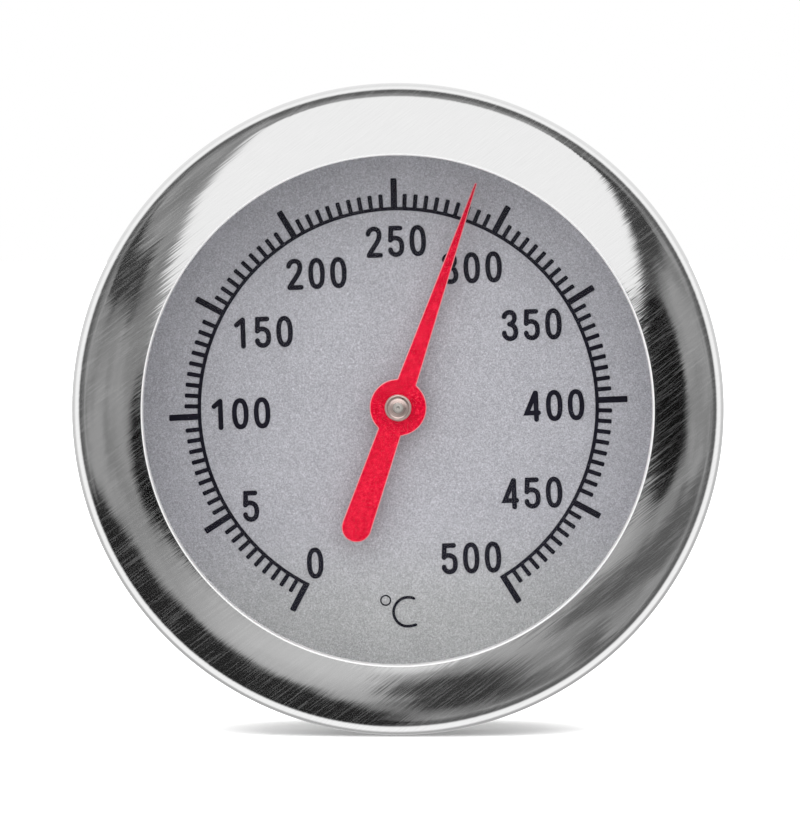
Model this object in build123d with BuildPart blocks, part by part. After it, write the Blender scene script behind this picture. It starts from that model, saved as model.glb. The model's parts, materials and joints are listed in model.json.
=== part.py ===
"""Dial oven thermometer for 0 to 500 degrees, with a bimetal stem and a threaded fitting at its back.

The origin is the centre of the seat, which is the rear face of the hexagon collar, where the
thermometer bears on the oven's wall. +Y runs along the stem to its tip, so the dial looks towards -Y,
and +Z is up, through the middle mark of the scale. Lengths are in millimetres and angles in degrees.
A "clock angle" turns clockwise from +Z as the reader of the dial sees it.
"""

import os
from math import cos, degrees, radians, sin

from build123d import *

# Head: bezel, lens and case
bezel_outer_r = 31.5
bezel_face_width = 7.0
sheet = 0.6
face_tilt_inner = 2.0
face_tilt_outer = 24.0
face_end_inset = 1.6
lip_round_r = 0.12
lip_height = 1.93
bezel_depth = 8.0
curl_outer_r = 1.0
curl_gap = 0.15
lens_play = 0.4
lens_thickness = 2.0
gasket_thickness = 0.5
gasket_cover = 0.2
gasket_width = 4.57
flange_width = 2.3
case_depth = 19.2
case_corner_r = 2.0
shoulder_width = 1.8
press_r = 0.3
dial_play = 0.05

# Dial, its print and the pointer
dial_to_lens = 6.5
dial_thickness = 0.5
dial_hole_r = 1.4
spacer_wall = 0.7
print_thickness = 0.06
print_drop = 0.08
scale_margin = 2.08
major_length = 3.14
major_width = 0.60
minor_length = 1.62
minor_width = 0.41
tick_round_r = 0.12
arc_width = 0.34
minor_step = 2.94
minors_per_block = 9
block_value = 50
major_angles = (-150.3, -120.5, -90.4, -59.5, -29.1, 1.0, 30.9, 60.5, 90.0, 120.5, 150.3)
numeral_height = 3.05
numeral_width = 1.62
numeral_stroke = 0.47
numeral_pitch = 2.13
unit_height = 3.1
unit_stroke = 0.27
degree_r = 0.54
degree_stroke = 0.13
reading = 284.0
pointer_gap = 1.9
pointer_thickness = 0.35
needle_length = 23.15
needle_hub_width = 2.18
needle_tip_width = 0.26
tail_centre = 12.35
tail_end_r = 1.47
hub_r = 2.78
boss_r = 1.3
boss_height = 1.1
boss_round_r = 0.3
rivet_r = 0.95
bush_flange_r = 1.7
bush_flange_thickness = 0.7

# Spindle and its bearings
spindle_r = 0.55
spindle_end_height = 0.15
pip_r = 0.16
pip_depth = 0.12
running_play = 0.05
bearing_flange_r = 3.2
bearing_flange_thickness = 0.8
bearing_length = 5.0
bearing_r = 2.0
end_play = 0.1
collar_r = 1.4
collar_thickness = 1.5
guide_y = 22.0
guide_thickness = 2.0
guide_room = 4.0

# Coil
coil_strip = 0.25
coil_width = 1.0
coil_pitch = 1.6
coil_clearance = 0.35
weld_play = 0.01
coil_overlap = 1.6

# Fitting and stem
collar_height = 5.0
collar_flats = 17.0
hex_chamfer = 0.8
shank_r = 5.0
shank_length = 16.0
shank_chamfer = 0.7
thread_pitch = 1.0
thread_play = 0.05
spigot_length = 4.9
seal_thickness = 0.8
seal_outer_r = 8.0
case_nut_height = 2.5
case_nut_flats = 14.0
wall_gap = 3.0
washer_thickness = 1.0
washer_outer_r = 10.0
washer_play = 0.25
nut_height = 5.0
nut_flats = 17.0
stem_r = 3.0
stem_wall = 0.5
stem_insertion = 63.0
stem_seat_step = 0.2
stem_engagement = 12.0
plug_length = 2.5

# Heights along the axis, from the seat forward to the bezel
collar_front = -collar_height
case_rear = collar_front - seal_thickness
case_floor = case_rear - sheet
spigot_front = collar_front - spigot_length
lens_rear = case_rear - case_depth
lens_front = lens_rear - lens_thickness
gasket_front = lens_front - gasket_thickness
dial_front = lens_rear + dial_to_lens
dial_rear = dial_front + dial_thickness
print_front = dial_front - print_thickness
pointer_rear = dial_front - pointer_gap
pointer_front = pointer_rear - pointer_thickness
boss_front = pointer_front - boss_height
spindle_front = boss_front - spindle_end_height
bearing_front = spigot_front - bearing_flange_thickness
bezel_rear = gasket_front + bezel_depth

# Radii that follow from what fits into what
opening_r = bezel_outer_r - bezel_face_width
bezel_bore_r = bezel_outer_r - sheet
lens_r = bezel_bore_r - lens_play
gasket_inner_r = opening_r + gasket_cover
cup_r = lens_r - flange_width
case_inner_r = cup_r - shoulder_width
dial_r = cup_r - press_r - dial_play
major_tip_r = opening_r - scale_margin
arc_r = major_tip_r - major_length
minor_tip_r = arc_r + minor_length
spindle_bore_r = spindle_r + running_play
stem_bore_r = stem_r - stem_wall
stem_seat_r = stem_r - stem_seat_step
coil_outer_r = stem_bore_r - coil_clearance
coil_inner_r = coil_outer_r - coil_strip
post_r = coil_inner_r - weld_play

# Places along the stem
stem_end = stem_insertion - stem_r
stem_start = shank_length
stem_top = stem_start - stem_engagement
post_end = stem_end - plug_length
coil_end = post_end - coil_width / 2
coil_room = post_end - coil_width - (guide_y + guide_thickness + guide_room)
coil_turns = int(coil_room / coil_pitch)
coil_start = coil_end - coil_pitch * coil_turns
coil_collar_start = coil_start - coil_width / 2
coil_collar_end = coil_start + coil_overlap
post_start = coil_end - coil_overlap

# Pieces behind the oven's wall
washer_front = wall_gap
washer_rear = washer_front + washer_thickness
nut_rear = washer_rear + nut_height

os.makedirs("parts", exist_ok=True)


def clock(angle, radius):
    """The point of the dial at a clock angle and a radius."""
    return (radius * sin(radians(angle)), radius * cos(radians(angle)))


def scale_angle(value):
    """The clock angle of a temperature, between the two major marks that it lies between."""
    block = min(int(value // block_value), len(major_angles) - 2)
    low, high = major_angles[block : block + 2]
    return low + (high - low) * (value / block_value - block)


def dial_plane(y):
    """A plane square to the axis at y, seen by the reader: +X to the right and +Z up."""
    return Plane.XZ.offset(-y)


def half_ring(inner_r, outer_r, front, rear):
    """Half section of a plain ring between two heights along the axis, to be revolved about Y."""
    with BuildSketch() as section:
        with Locations((inner_r, front)):
            Rectangle(outer_r - inner_r, rear - front, align=(Align.MIN, Align.MIN))
    return section.sketch


# ---------------------------------------------------------------------------------------------
# Head
# ---------------------------------------------------------------------------------------------

# The bezel is one sheet: a lip turned back onto the gasket, a crowned face that falls away outward,
# a rolled edge, a skirt, and a curl turned in behind the case's flange.
crown_r = (bezel_face_width - face_end_inset - lip_round_r * (1 + sin(radians(face_tilt_inner)))) / (
    sin(radians(face_tilt_outer)) - sin(radians(face_tilt_inner))
)
edge_r = face_end_inset / (1 - sin(radians(face_tilt_outer)))
lip_centre = Vector(opening_r + lip_round_r, gasket_front - lip_height)
crown_centre = lip_centre + Vector(-sin(radians(face_tilt_inner)), cos(radians(face_tilt_inner))) * (
    crown_r - lip_round_r
)
edge_centre = crown_centre - Vector(-sin(radians(face_tilt_outer)), cos(radians(face_tilt_outer))) * (
    crown_r - edge_r
)
curl_centre = Vector(bezel_outer_r - curl_outer_r, bezel_rear - curl_outer_r)
curl_end_r = cup_r + sheet + curl_gap

with BuildPart() as bezel:
    with BuildSketch() as bezel_section:
        with BuildLine() as bezel_outline:
            lip_side = Line((opening_r, gasket_front), (opening_r, lip_centre.Y))
            lip_arc = CenterArc(lip_centre, lip_round_r, 180, 90 + face_tilt_inner)
            face_arc = CenterArc(
                crown_centre, crown_r, 270 + face_tilt_inner, face_tilt_outer - face_tilt_inner
            )
            edge_arc = CenterArc(edge_centre, edge_r, 270 + face_tilt_outer, 90 - face_tilt_outer)
            skirt = Line(edge_arc @ 1, (bezel_outer_r, curl_centre.Y))
            curl_arc = CenterArc(curl_centre, curl_outer_r, 0, 90)
            curl_flat = Line(curl_arc @ 1, (curl_end_r, bezel_rear))
            offset(amount=sheet, side=Side.LEFT)
        make_face()
    revolve(axis=Axis.Y)
bezel.part.label = "bezel"
export_step(bezel.part, "parts/bezel.step")

with BuildPart() as lens:
    add(half_ring(0, lens_r, lens_front, lens_rear))
    revolve(axis=Axis.Y)
lens.part.label = "lens"
export_step(lens.part, "parts/lens.step")

with BuildPart() as lens_gasket:
    add(half_ring(gasket_inner_r, gasket_inner_r + gasket_width, gasket_front, lens_front))
    revolve(axis=Axis.Y)
lens_gasket.part.label = "lens_gasket"
export_step(lens_gasket.part, "parts/lens_gasket.step")

# The case is a drawn cup of the same sheet: floor, wall, shoulder under the dial, flange under the lens.
with BuildPart() as case:
    with BuildSketch() as case_section:
        with BuildLine() as case_outline:
            FilletPolyline(
                (shank_r + thread_play, case_floor),
                (case_inner_r, case_floor),
                (case_inner_r, dial_rear),
                (cup_r, dial_rear),
                (cup_r, lens_rear),
                (lens_r, lens_rear),
                radius=[case_corner_r, press_r, press_r, press_r],
            )
            offset(amount=sheet, side=Side.LEFT)
        make_face()
    revolve(axis=Axis.Y)
case.part.label = "case"
export_step(case.part, "parts/case.step")

with BuildPart() as spacer_ring:
    add(half_ring(dial_r - spacer_wall, dial_r, lens_rear, dial_front))
    revolve(axis=Axis.Y)
spacer_ring.part.label = "spacer_ring"
export_step(spacer_ring.part, "parts/spacer_ring.step")

# ---------------------------------------------------------------------------------------------
# Dial and its print
# ---------------------------------------------------------------------------------------------

with BuildPart() as dial_plate:
    add(half_ring(dial_hole_r, dial_r, dial_front, dial_rear))
    revolve(axis=Axis.Y)
dial_plate.part.label = "dial_plate"
export_step(dial_plate.part, "parts/dial_plate.step")

half_w = (numeral_width - numeral_stroke) / 2
half_h = (numeral_height - numeral_stroke) / 2


def loop(across, up, fullness=0.64):
    """A closed oval of four tangent curves, a little squarer than an ellipse."""
    with BuildSketch() as oval:
        with BuildLine():
            for side_x, side_y in ((1, 1), (-1, 1), (-1, -1), (1, -1)):
                right = (side_x * across, 0)
                right_pull = (side_x * across, side_y * up * fullness)
                top_pull = (side_x * across * fullness, side_y * up)
                Bezier(right, right_pull, top_pull, (0, side_y * up))
        make_face()
    return oval.sketch


def stroke(*points, curved=True, width=numeral_stroke):
    """One pen stroke through the points, as a smooth curve or as straight runs, with round ends."""
    with BuildSketch() as ink:
        with BuildLine() as path:
            if curved:
                Spline(*points)
            else:
                Polyline(*points)
        trace(path.edges(), line_width=width)
        with Locations(*(points[0], points[-1]) if curved else points):
            Circle(width / 2)
    return ink.sketch


def numeral_zero():
    with BuildSketch() as glyph:
        add(loop(half_w + numeral_stroke / 2, half_h + numeral_stroke / 2))
        add(loop(half_w - numeral_stroke / 2, half_h - numeral_stroke / 2), mode=Mode.SUBTRACT)
    return glyph.sketch


def numeral_one():
    with BuildSketch() as glyph:
        add(stroke((0.2, half_h), (0.2, -half_h), curved=False))
        add(stroke((0.2, half_h), (-0.42, 0.62 * half_h), curved=False))
    return glyph.sketch


def numeral_two():
    with BuildSketch() as glyph:
        add(
            stroke(
                (-half_w, 0.62 * half_h),
                (-0.62 * half_w, 0.9 * half_h),
                (0, half_h),
                (0.68 * half_w, 0.87 * half_h),
                (0.9 * half_w, 0.5 * half_h),
                (0.62 * half_w, 0.08 * half_h),
                (-0.25 * half_w, -0.5 * half_h),
                (-0.95 * half_w, -half_h),
            )
        )
        add(stroke((-0.95 * half_w, -half_h), (half_w, -half_h), curved=False))
    return glyph.sketch


def numeral_three():
    with BuildSketch() as glyph:
        add(
            stroke(
                (-0.92 * half_w, 0.68 * half_h),
                (-0.55 * half_w, 0.93 * half_h),
                (0, half_h),
                (0.62 * half_w, 0.88 * half_h),
                (0.82 * half_w, 0.56 * half_h),
                (0.55 * half_w, 0.24 * half_h),
                (-0.05 * half_w, 0.1 * half_h),
            )
        )
        add(
            stroke(
                (-0.05 * half_w, 0.1 * half_h),
                (0.62 * half_w, -0.04 * half_h),
                (0.98 * half_w, -0.48 * half_h),
                (0.72 * half_w, -0.87 * half_h),
                (0, -half_h),
                (-0.68 * half_w, -0.87 * half_h),
                (-0.98 * half_w, -0.55 * half_h),
            )
        )
    return glyph.sketch


def numeral_four():
    with BuildSketch() as glyph:
        add(stroke((0.35, half_h), (0.35, -half_h), curved=False))
        add(stroke((0.3, half_h), (-half_w, -0.5 * half_h), (half_w, -0.5 * half_h), curved=False))
    return glyph.sketch


def numeral_five():
    with BuildSketch() as glyph:
        add(
            stroke(
                (0.78 * half_w, half_h),
                (-0.78 * half_w, half_h),
                (-0.92 * half_w, 0.1 * half_h),
                curved=False,
            )
        )
        add(
            stroke(
                (-0.92 * half_w, 0.1 * half_h),
                (-0.1 * half_w, 0.26 * half_h),
                (0.72 * half_w, 0.08 * half_h),
                (0.98 * half_w, -0.38 * half_h),
                (0.72 * half_w, -0.84 * half_h),
                (0, -half_h),
                (-0.68 * half_w, -0.88 * half_h),
                (-0.96 * half_w, -0.62 * half_h),
            )
        )
    return glyph.sketch


numerals = {
    "0": numeral_zero(),
    "1": numeral_one(),
    "2": numeral_two(),
    "3": numeral_three(),
    "4": numeral_four(),
    "5": numeral_five(),
}

# Each label: its text, the clock angle of its centre and how far that lies inside the arc. The lowest
# label but one is printed without its last zero.
labels = (
    ("0", -149.7, 2.03),
    ("5", -121.6, 1.93),
    ("100", -90.0, 3.83),
    ("150", -58.7, 4.13),
    ("200", -29.1, 3.93),
    ("250", 1.4, 3.03),
    ("300", 29.9, 3.83),
    ("350", 60.3, 3.93),
    ("400", 91.4, 4.03),
    ("450", 124.7, 3.73),
    ("500", 156.3, 2.93),
)

# The print sits a little below the spindle's axis. The arc ends flush with the far sides of its two end
# marks. The coil doesn't turn quite evenly with the temperature, so the major marks have places of their
# own, and the minor marks step on from each.
end_margin = degrees(major_width / 2 / arc_r)
arc_start = 90 - major_angles[-1] - end_margin
arc_sweep = major_angles[-1] - major_angles[0] + 2 * end_margin
minor_angles = [
    major + step * minor_step for major in major_angles[:-1] for step in range(1, minors_per_block + 1)
]

with BuildPart() as dial_print:
    with BuildSketch(Plane(origin=(0, dial_front, -print_drop), x_dir=(1, 0, 0), z_dir=(0, -1, 0))):
        with BuildLine():
            inner_arc = CenterArc((0, 0), arc_r, arc_start, arc_sweep)
            outer_arc = CenterArc((0, 0), arc_r + arc_width, arc_start, arc_sweep)
            Line(inner_arc @ 0, outer_arc @ 0)
            Line(inner_arc @ 1, outer_arc @ 1)
        make_face()
        for angle in minor_angles:
            with PolarLocations((arc_r + minor_tip_r) / 2, 1, 90 - angle):
                RectangleRounded(minor_tip_r - arc_r, minor_width, tick_round_r)
        for angle in major_angles:
            with PolarLocations((arc_r + major_tip_r) / 2, 1, 90 - angle):
                RectangleRounded(major_tip_r - arc_r, major_width, tick_round_r)
        for text, angle, inset in labels:
            centre = clock(angle, arc_r - inset)
            for place, digit in enumerate(text):
                shift = (place - (len(text) - 1) / 2) * numeral_pitch
                with Locations((centre[0] + shift, centre[1])):
                    add(numerals[digit])
        unit_r = unit_height / 2 - unit_stroke / 2
        unit_centre = (-0.14, -(arc_r + 0.72))
        with Locations(unit_centre):
            add(
                stroke(
                    (0.95, 0.9 * unit_r),
                    (0.45, unit_r),
                    (-0.35, 0.87 * unit_r),
                    (-0.95, 0.4 * unit_r),
                    (-1.08, -0.1 * unit_r),
                    (-0.82, -0.6 * unit_r),
                    (-0.1, -0.97 * unit_r),
                    (0.5, -unit_r),
                    (1.05, -0.92 * unit_r),
                    width=unit_stroke,
                )
            )
        with Locations((unit_centre[0] - 1.81, unit_centre[1] + 1.19)):
            Circle(degree_r)
            Circle(degree_r - degree_stroke, mode=Mode.SUBTRACT)
    extrude(amount=print_thickness)
dial_print.part.label = "dial_print"
export_step(dial_print.part, "parts/dial_print.step")

# ---------------------------------------------------------------------------------------------
# Pointer, bush and spindle
# ---------------------------------------------------------------------------------------------

pointer_angle = scale_angle(reading)
tail_half_width = tail_end_r
tip_half_width = needle_tip_width / 2
needle_end = needle_length - tip_half_width

across_pointer = (cos(radians(pointer_angle)), 0, -sin(radians(pointer_angle)))

with BuildPart() as pointer:
    with BuildSketch(Plane(origin=(0, pointer_rear, 0), x_dir=across_pointer, z_dir=(0, -1, 0))):
        with BuildLine():
            Polyline(
                (tip_half_width, needle_end),
                (needle_hub_width / 2, 0),
                (tail_half_width, -tail_centre),
                (-tail_half_width, -tail_centre),
                (-needle_hub_width / 2, 0),
                (-tip_half_width, needle_end),
                close=True,
            )
        make_face()
        with Locations((0, needle_end)):
            Circle(tip_half_width)
        with Locations((0, -tail_centre)):
            Circle(tail_end_r)
        Circle(hub_r)
        Circle(rivet_r, mode=Mode.SUBTRACT)
    extrude(amount=pointer_thickness)
pointer.part.label = "pointer"
export_step(pointer.part, "parts/pointer.step")

bush_rear = pointer_rear + bush_flange_thickness
with BuildPart() as pointer_bush:
    with BuildSketch() as bush_section:
        with BuildLine():
            Polyline(
                (spindle_r, boss_front),
                (boss_r, boss_front),
                (boss_r, pointer_front),
                (rivet_r, pointer_front),
                (rivet_r, pointer_rear),
                (bush_flange_r, pointer_rear),
                (bush_flange_r, bush_rear),
                (spindle_r, bush_rear),
                close=True,
            )
        make_face()
        fillet(bush_section.vertices().group_by(Axis.Y)[0].sort_by(Axis.X)[-1], boss_round_r)
    revolve(axis=Axis.Y)
pointer_bush.part.label = "pointer_bush"
export_step(pointer_bush.part, "parts/pointer_bush.step")

with BuildPart() as spindle:
    with BuildSketch() as spindle_section:
        with Locations((0, spindle_front)):
            Rectangle(spindle_r, coil_collar_end - spindle_front, align=(Align.MIN, Align.MIN))
        chamfer(spindle_section.vertices().group_by(Axis.X)[-1].group_by(Axis.Y)[0], 0.08)
        with BuildLine():
            Polyline((0, spindle_front), (pip_r, spindle_front), (0, spindle_front + pip_depth), close=True)
        make_face(mode=Mode.SUBTRACT)
    revolve(axis=Axis.Y)
spindle.part.label = "spindle"
export_step(spindle.part, "parts/spindle.step")

thrust_collar_rear = bearing_front - end_play
with BuildPart() as thrust_collar:
    add(half_ring(spindle_r, collar_r, thrust_collar_rear - collar_thickness, thrust_collar_rear))
    revolve(axis=Axis.Y)
thrust_collar.part.label = "thrust_collar"
export_step(thrust_collar.part, "parts/thrust_collar.step")

with BuildPart() as upper_bearing:
    add(half_ring(spindle_bore_r, bearing_flange_r, bearing_front, spigot_front))
    add(half_ring(spindle_bore_r, bearing_r, spigot_front, spigot_front + bearing_length))
    revolve(axis=Axis.Y)
upper_bearing.part.label = "upper_bearing"
export_step(upper_bearing.part, "parts/upper_bearing.step")

with BuildPart() as lower_bearing:
    add(half_ring(spindle_bore_r, stem_bore_r, guide_y, guide_y + guide_thickness))
    revolve(axis=Axis.Y)
lower_bearing.part.label = "lower_bearing"
export_step(lower_bearing.part, "parts/lower_bearing.step")

with BuildPart() as coil_collar:
    add(half_ring(spindle_r, post_r, coil_collar_start, coil_collar_end))
    revolve(axis=Axis.Y)
coil_collar.part.label = "coil_collar"
export_step(coil_collar.part, "parts/coil_collar.step")

# ---------------------------------------------------------------------------------------------
# Coil and stem
# ---------------------------------------------------------------------------------------------

coil_middle_r = coil_inner_r + coil_strip / 2
with BuildPart() as bimetal_coil:
    with BuildLine() as coil_path:
        Helix(coil_pitch, coil_pitch * coil_turns, coil_middle_r, center=(0, coil_start, 0), direction=(0, 1, 0))
    path_start = coil_path.line @ 0
    outward = Vector(path_start.X, 0, path_start.Z).normalized()
    with BuildSketch(Plane(origin=path_start, x_dir=outward, z_dir=coil_path.line % 0)):
        Rectangle(coil_strip, coil_width)
    sweep(is_frenet=True)
bimetal_coil.part.label = "bimetal_coil"
export_step(bimetal_coil.part, "parts/bimetal_coil.step")

with BuildPart() as stem_tube:
    add(half_ring(stem_bore_r, stem_seat_r, stem_top, stem_start))
    add(half_ring(stem_bore_r, stem_r, stem_start, stem_end))
    revolve(axis=Axis.Y)
stem_tube.part.label = "stem_tube"
export_step(stem_tube.part, "parts/stem_tube.step")

with BuildPart() as stem_tip:
    add(half_ring(0, stem_bore_r, post_end, stem_end))
    add(half_ring(0, post_r, post_start, post_end))
    with BuildSketch():
        with Locations((0, stem_end)):
            Circle(stem_r)
            with Locations((-stem_r, -stem_r)):
                Rectangle(stem_r, 2 * stem_r, align=(Align.MIN, Align.MIN), mode=Mode.SUBTRACT)
            with Locations((0, -stem_r)):
                Rectangle(stem_r, stem_r, align=(Align.MIN, Align.MIN), mode=Mode.SUBTRACT)
    revolve(axis=Axis.Y)
stem_tip.part.label = "stem_tip"
export_step(stem_tip.part, "parts/stem_tip.step")

# ---------------------------------------------------------------------------------------------
# Fitting
# ---------------------------------------------------------------------------------------------


def hexagon(flats, bore_r, front, rear, chamfered_front, chamfered_rear):
    """A hexagon of the given width across flats with its corners turned down at one or both ends."""
    corner_r = flats / 2 / cos(radians(30))
    with BuildPart() as prism:
        with BuildSketch(dial_plane(rear)):
            RegularPolygon(flats / 2, 6, major_radius=False)
        extrude(amount=rear - front)
        with BuildSketch() as turning:
            with Locations((0, front)):
                Rectangle(corner_r, rear - front, align=(Align.MIN, Align.MIN))
            outer = turning.vertices().group_by(Axis.X)[-1]
            if chamfered_front:
                chamfer(outer.group_by(Axis.Y)[0], hex_chamfer / 2, hex_chamfer)
            if chamfered_rear:
                chamfer(turning.vertices().group_by(Axis.X)[-1].group_by(Axis.Y)[-1], hex_chamfer / 2, hex_chamfer)
        revolve(axis=Axis.Y, mode=Mode.INTERSECT)
        if bore_r:
            with BuildSketch(dial_plane(rear)):
                Circle(bore_r)
            extrude(amount=rear - front, mode=Mode.SUBTRACT)
    return prism.part


with BuildPart() as threaded_bush:
    add(hexagon(collar_flats, 0, collar_front, 0, True, False))
    with BuildSketch() as shank_section:
        with Locations((0, spigot_front)):
            Rectangle(shank_r, shank_length - spigot_front, align=(Align.MIN, Align.MIN))
        chamfer(shank_section.vertices().group_by(Axis.X)[-1], shank_chamfer)
    revolve(axis=Axis.Y)
    add(half_ring(0, bearing_r, spigot_front, shank_length))
    add(half_ring(0, stem_seat_r, stem_top, shank_length))
    revolve(axis=Axis.Y, mode=Mode.SUBTRACT)
threaded_bush.part.label = "threaded_bush"
export_step(threaded_bush.part, "parts/threaded_bush.step")

with BuildPart() as neck_seal:
    add(half_ring(shank_r + thread_play, seal_outer_r, case_rear, collar_front))
    revolve(axis=Axis.Y)
neck_seal.part.label = "neck_seal"
export_step(neck_seal.part, "parts/neck_seal.step")

with BuildPart() as case_nut:
    add(hexagon(case_nut_flats, shank_r + thread_play, case_floor - case_nut_height, case_floor, True, False))
case_nut.part.label = "case_nut"
export_step(case_nut.part, "parts/case_nut.step")

with BuildPart() as washer:
    add(half_ring(shank_r + washer_play, washer_outer_r, washer_front, washer_rear))
    revolve(axis=Axis.Y)
washer.part.label = "washer"
export_step(washer.part, "parts/washer.step")

with BuildPart() as lock_nut:
    add(hexagon(nut_flats, shank_r + thread_play, washer_rear, nut_rear, True, True))
lock_nut.part.label = "lock_nut"
export_step(lock_nut.part, "parts/lock_nut.step")

print(f"reading {reading:g} stands at clock angle {pointer_angle:.2f} degrees")
print(f"bezel crest at y {lip_centre.Y - lip_round_r:.2f}, rear edge at y {bezel_rear:.2f}")
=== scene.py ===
"""Looks for the dial oven thermometer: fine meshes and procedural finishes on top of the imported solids.

Metres, in the part's own frame: the axis is Y, the dial looks towards -Y, and +Z is up. Angles are in
degrees. A "clock angle" turns clockwise from +Z as the reader of the dial sees it.
"""

import json
from math import acos, asin, atan2, cos, degrees, pi, radians, sin, sqrt, tan

import bmesh
import bpy
from mathutils import Matrix, Vector
from mathutils.geometry import tessellate_polygon


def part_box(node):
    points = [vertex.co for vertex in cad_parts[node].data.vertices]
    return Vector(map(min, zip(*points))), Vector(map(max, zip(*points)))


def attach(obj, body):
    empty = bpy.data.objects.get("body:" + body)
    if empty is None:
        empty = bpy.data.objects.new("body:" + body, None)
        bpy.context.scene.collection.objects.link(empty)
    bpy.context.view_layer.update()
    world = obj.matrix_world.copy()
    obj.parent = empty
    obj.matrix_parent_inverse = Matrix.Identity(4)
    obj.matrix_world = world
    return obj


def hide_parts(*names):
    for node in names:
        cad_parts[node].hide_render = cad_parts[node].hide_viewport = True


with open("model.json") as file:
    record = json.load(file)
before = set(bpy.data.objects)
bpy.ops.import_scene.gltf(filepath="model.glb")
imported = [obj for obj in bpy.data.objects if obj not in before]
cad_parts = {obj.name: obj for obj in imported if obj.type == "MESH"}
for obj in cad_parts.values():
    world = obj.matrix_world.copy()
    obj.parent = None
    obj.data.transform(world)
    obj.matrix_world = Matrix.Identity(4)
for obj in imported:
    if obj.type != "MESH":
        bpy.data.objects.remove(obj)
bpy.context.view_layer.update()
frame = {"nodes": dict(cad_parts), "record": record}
nodes = frame["nodes"]
MM = 0.001


# ---------------------------------------------------------------------------------------------
# Measures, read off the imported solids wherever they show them
# ---------------------------------------------------------------------------------------------


def front(node):
    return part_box(node)[0].y


def rear(node):
    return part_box(node)[1].y


def outer_r(node):
    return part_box(node)[1].z


bezel_r = outer_r("bezel")
bezel_crest = front("bezel")
bezel_rear = rear("bezel")
lens_r = outer_r("lens")
lens_front = front("lens")
lens_rear = rear("lens")
gasket_front = front("lens_gasket")
case_r = outer_r("case")
case_rear = rear("case")
dial_rear = rear("dial_plate")
pointer_front = front("pointer")
pointer_rear = rear("pointer")
boss_front = front("pointer_bush")
bush_rear = rear("pointer_bush")
spindle_front = front("spindle")
spindle_rear = rear("spindle")
spindle_r = outer_r("spindle")
collar_flat_r = outer_r("threaded_bush")
spigot_front = front("threaded_bush")
shank_end = rear("threaded_bush")
washer_front = front("washer")
washer_rear = rear("washer")
washer_r = outer_r("washer")
nut_front = front("lock_nut")
nut_rear = rear("lock_nut")
nut_flat_r = outer_r("lock_nut")
stem_r = outer_r("stem_tip")
stem_tip_end = rear("stem_tip")

sheet = 0.6 * MM
opening_r = bezel_r - 7.0 * MM
lip_r = 0.12 * MM
face_tilt_inner = 2.0
face_tilt_outer = 24.0
face_end_inset = 1.6 * MM
curl_r = 1.0 * MM
curl_end_r = 28.95 * MM
hub_r = 2.78 * MM
boss_r = 1.3 * MM
rivet_r = 0.95 * MM
bush_flange_r = 1.7 * MM
needle_length = 23.15 * MM
needle_hub_width = 2.18 * MM
needle_tip_width = 0.26 * MM
tail_centre = 12.35 * MM
tail_end_r = 1.47 * MM
pointer_angle = 21.33
collar_length = 5.0 * MM
bush_bore_r = 2.0 * MM
stem_seat_r = 2.8 * MM
stem_top = 4.0 * MM
shank_r = 5.0 * MM
shank_chamfer = 0.7 * MM
thread_pitch = 1.0 * MM
thread_depth = 0.61 * MM
thread_play = 0.05 * MM
washer_bore_r = shank_r + 0.25 * MM

ROUND = 360
HEX_ROUND = 240
HOLE_ROUND = 64


# ---------------------------------------------------------------------------------------------
# Mesh building
# ---------------------------------------------------------------------------------------------


def arc(centre, radius, start, sweep, steps):
    """Points of an arc in the (radius, height) plane. 270 degrees points to the front, -Y."""
    angles = [radians(start + sweep * i / steps) for i in range(steps + 1)]
    return [(centre[0] + radius * cos(a), centre[1] + radius * sin(a)) for a in angles]


def softened(corners, amounts, steps=5):
    """The outline with each corner rounded by its own amount. Zero leaves a corner as it is."""
    result = []
    for i, amount in enumerate(amounts):
        here = Vector(corners[i])
        if amount <= 0:
            result.append(tuple(here))
            continue
        before = (Vector(corners[i - 1]) - here).normalized()
        after = (Vector(corners[(i + 1) % len(corners)]) - here).normalized()
        half = acos(max(-1, min(1, before.dot(after)))) / 2
        reach = amount / tan(half)
        first, last = here + before * reach, here + after * reach
        centre = here + (before + after).normalized() * (amount / sin(half))
        spoke_a, spoke_b = first - centre, last - centre
        turn = spoke_a.angle_signed(spoke_b)
        for k in range(steps + 1):
            spoke = Matrix.Rotation(-turn * k / steps, 2) @ spoke_a
            result.append(tuple(centre + spoke))
    return result


def build(name, points, faces, body, slot, replaced, sharp=35.0):
    """Makes one piece of the object from points and faces, smooth but for its sharp edges. The piece
    rides on a body, replaces the listed nodes, and wears the finish of its slot."""
    mesh = bpy.data.meshes.new(name)
    mesh.from_pydata([tuple(p) for p in points], [], faces)
    work = bmesh.new()
    work.from_mesh(mesh)
    bmesh.ops.recalc_face_normals(work, faces=work.faces)
    work.to_mesh(mesh)
    work.free()
    mesh.shade_smooth()
    mesh.set_sharp_from_angle(angle=radians(sharp))
    mesh.materials.append(finishes[slot])
    piece = bpy.data.objects.new(name, mesh)
    bpy.context.scene.collection.objects.link(piece)
    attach(piece, body)
    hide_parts(*replaced)


def skin(rows, closed):
    """Points and faces of the surface through rows of points. A row of one point is a pole."""
    points, faces, starts = [], [], []
    for row in rows:
        starts.append(len(points))
        points.extend(row)
    pairs = list(zip(range(len(rows) - 1), range(1, len(rows))))
    if closed:
        pairs.append((len(rows) - 1, 0))
    for a, b in pairs:
        count = max(len(rows[a]), len(rows[b]))
        for i in range(count):
            j = (i + 1) % count
            corner_a = [starts[a] + i, starts[a] + j] if len(rows[a]) > 1 else [starts[a]]
            corner_b = [starts[b] + j, starts[b] + i] if len(rows[b]) > 1 else [starts[b]]
            faces.append(corner_a + corner_b)
    return points, faces


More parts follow.
